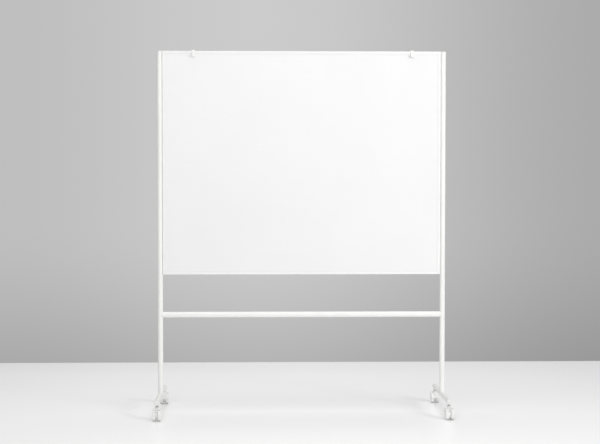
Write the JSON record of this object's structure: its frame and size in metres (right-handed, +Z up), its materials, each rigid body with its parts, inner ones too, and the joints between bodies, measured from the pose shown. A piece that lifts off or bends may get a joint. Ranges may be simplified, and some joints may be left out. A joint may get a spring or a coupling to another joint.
{
  "type": "rolling whiteboard",
  "caption": "White two-sided whiteboard fixed between two round uprights with a crossbar, on two foot tubes with locking twin-wheel casters and sliding pad hooks.",
  "frame": {"origin": "on the floor, midway between the two uprights", "axes": "+X to the right seen from the front, +Y to the back, +Z up; the front writing face looks along -Y"},
  "size_m": [1.5806, 0.6222, 1.9614],
  "materials": {
    "frame_paint": "satin",
    "edge_profile": "satin",
    "writing_enamel": "gloss",
    "board_core": "matte",
    "hook_paint": "satin",
    "cap_plastic": "satin",
    "caster_plastic": "satin",
    "caster_wheel": "satin",
    "stem_steel": "satin",
    "fastener_steel": "satin"
  },
  "bodies": {
    "stand": {"left_upright": "frame_paint", "right_upright": "frame_paint", "left_upright_cap": "cap_plastic", "right_upright_cap": "cap_plastic", "crossbar": "frame_paint", "left_crossbar_insert": "fastener_steel", "right_crossbar_insert": "fastener_steel", "left_crossbar_screw": "fastener_steel", "right_crossbar_screw": "fastener_steel", "left_foot_tube": "frame_paint", "right_foot_tube": "frame_paint", "left_front_foot_cap": "cap_plastic", "left_rear_foot_cap": "cap_plastic", "right_front_foot_cap": "cap_plastic", "right_rear_foot_cap": "cap_plastic", "board_core": "board_core", "front_writing_sheet": "writing_enamel", "rear_writing_sheet": "writing_enamel", "top_edge_profile": "edge_profile", "bottom_edge_profile": "edge_profile", "left_edge_profile": "edge_profile", "right_edge_profile": "edge_profile", "left_upper_board_screw": "fastener_steel", "right_upper_board_screw": "fastener_steel", "left_lower_board_screw": "fastener_steel", "right_lower_board_screw": "fastener_steel", "front_left_caster_socket": "fastener_steel", "front_right_caster_socket": "fastener_steel", "rear_left_caster_socket": "fastener_steel", "rear_right_caster_socket": "fastener_steel", "front_left_caster_stem": "stem_steel", "front_right_caster_stem": "stem_steel", "rear_left_caster_stem": "stem_steel", "rear_right_caster_stem": "stem_steel"},
    "left_hook": {"left_pad_hook": "hook_paint", "left_hook_peg": "hook_paint"},
    "right_hook": {"right_pad_hook": "hook_paint", "right_hook_peg": "hook_paint"},
    "front_left_caster": {"front_left_caster_housing": "caster_plastic", "front_left_caster_axle": "fastener_steel"},
    "front_left_inner_wheel_body": {"front_left_inner_wheel": "caster_wheel"},
    "front_left_outer_wheel_body": {"front_left_outer_wheel": "caster_wheel"},
    "front_left_brake": {"front_left_brake_pedal": "caster_plastic"},
    "front_right_caster": {"front_right_caster_housing": "caster_plastic", "front_right_caster_axle": "fastener_steel"},
    "front_right_inner_wheel_body": {"front_right_inner_wheel": "caster_wheel"},
    "front_right_outer_wheel_body": {"front_right_outer_wheel": "caster_wheel"},
    "front_right_brake": {"front_right_brake_pedal": "caster_plastic"},
    "rear_left_caster": {"rear_left_caster_housing": "caster_plastic", "rear_left_caster_axle": "fastener_steel"},
    "rear_left_inner_wheel_body": {"rear_left_inner_wheel": "caster_wheel"},
    "rear_left_outer_wheel_body": {"rear_left_outer_wheel": "caster_wheel"},
    "rear_left_brake": {"rear_left_brake_pedal": "caster_plastic"},
    "rear_right_caster": {"rear_right_caster_housing": "caster_plastic", "rear_right_caster_axle": "fastener_steel"},
    "rear_right_inner_wheel_body": {"rear_right_inner_wheel": "caster_wheel"},
    "rear_right_outer_wheel_body": {"rear_right_outer_wheel": "caster_wheel"},
    "rear_right_brake": {"rear_right_brake_pedal": "caster_plastic"}
  },
  "joints": [
    {"name": "left_hook_slide", "type": "slide", "parent": "stand", "child": "left_hook", "axis": [1, 0, 0], "range_m": [-0.158, 0.565]},
    {"name": "right_hook_slide", "type": "slide", "parent": "stand", "child": "right_hook", "axis": [1, 0, 0], "range_m": [-0.577, 0.146]},
    {"name": "front_left_swivel", "type": "hinge", "parent": "stand", "child": "front_left_caster", "pos_m": [-0.7678, -0.255, 0.05], "axis": [0, 0, 1], "continuous": true},
    {"name": "front_left_inner_roll", "type": "hinge", "parent": "front_left_caster", "child": "front_left_inner_wheel_body", "pos_m": [-0.7678, -0.275, 0.03], "axis": [1, 0, 0], "continuous": true},
    {"name": "front_left_outer_roll", "type": "hinge", "parent": "front_left_caster", "child": "front_left_outer_wheel_body", "pos_m": [-0.7678, -0.275, 0.03], "axis": [1, 0, 0], "continuous": true},
    {"name": "front_left_brake_tilt", "type": "hinge", "parent": "front_left_caster", "child": "front_left_brake", "pos_m": [-0.7678, -0.28652, 0.04037], "axis": [1, 0, 0], "range_deg": [0, 14]},
    {"name": "front_right_swivel", "type": "hinge", "parent": "stand", "child": "front_right_caster", "pos_m": [0.7678, -0.255, 0.05], "axis": [0, 0, 1], "continuous": true},
    {"name": "front_right_inner_roll", "type": "hinge", "parent": "front_right_caster", "child": "front_right_inner_wheel_body", "pos_m": [0.7678, -0.275, 0.03], "axis": [1, 0, 0], "continuous": true},
    {"name": "front_right_outer_roll", "type": "hinge", "parent": "front_right_caster", "child": "front_right_outer_wheel_body", "pos_m": [0.7678, -0.275, 0.03], "axis": [1, 0, 0], "continuous": true},
    {"name": "front_right_brake_tilt", "type": "hinge", "parent": "front_right_caster", "child": "front_right_brake", "pos_m": [0.7678, -0.28652, 0.04037], "axis": [1, 0, 0], "range_deg": [0, 14]},
    {"name": "rear_left_swivel", "type": "hinge", "parent": "stand", "child": "rear_left_caster", "pos_m": [-0.7678, 0.255, 0.05], "axis": [0, 0, 1], "continuous": true},
    {"name": "rear_left_inner_roll", "type": "hinge", "parent": "rear_left_caster", "child": "rear_left_inner_wheel_body", "pos_m": [-0.7678, 0.275, 0.03], "axis": [1, 0, 0], "continuous": true},
    {"name": "rear_left_outer_roll", "type": "hinge", "parent": "rear_left_caster", "child": "rear_left_outer_wheel_body", "pos_m": [-0.7678, 0.275, 0.03], "axis": [1, 0, 0], "continuous": true},
    {"name": "rear_left_brake_tilt", "type": "hinge", "parent": "rear_left_caster", "child": "rear_left_brake", "pos_m": [-0.7678, 0.28652, 0.04037], "axis": [-1, 0, 0], "range_deg": [0, 14]},
    {"name": "rear_right_swivel", "type": "hinge", "parent": "stand", "child": "rear_right_caster", "pos_m": [0.7678, 0.255, 0.05], "axis": [0, 0, 1], "continuous": true},
    {"name": "rear_right_inner_roll", "type": "hinge", "parent": "rear_right_caster", "child": "rear_right_inner_wheel_body", "pos_m": [0.7678, 0.275, 0.03], "axis": [1, 0, 0], "continuous": true},
    {"name": "rear_right_outer_roll", "type": "hinge", "parent": "rear_right_caster", "child": "rear_right_outer_wheel_body", "pos_m": [0.7678, 0.275, 0.03], "axis": [1, 0, 0], "continuous": true},
    {"name": "rear_right_brake_tilt", "type": "hinge", "parent": "rear_right_caster", "child": "rear_right_brake", "pos_m": [0.7678, 0.28652, 0.04037], "axis": [-1, 0, 0], "range_deg": [0, 14]}
  ]
}
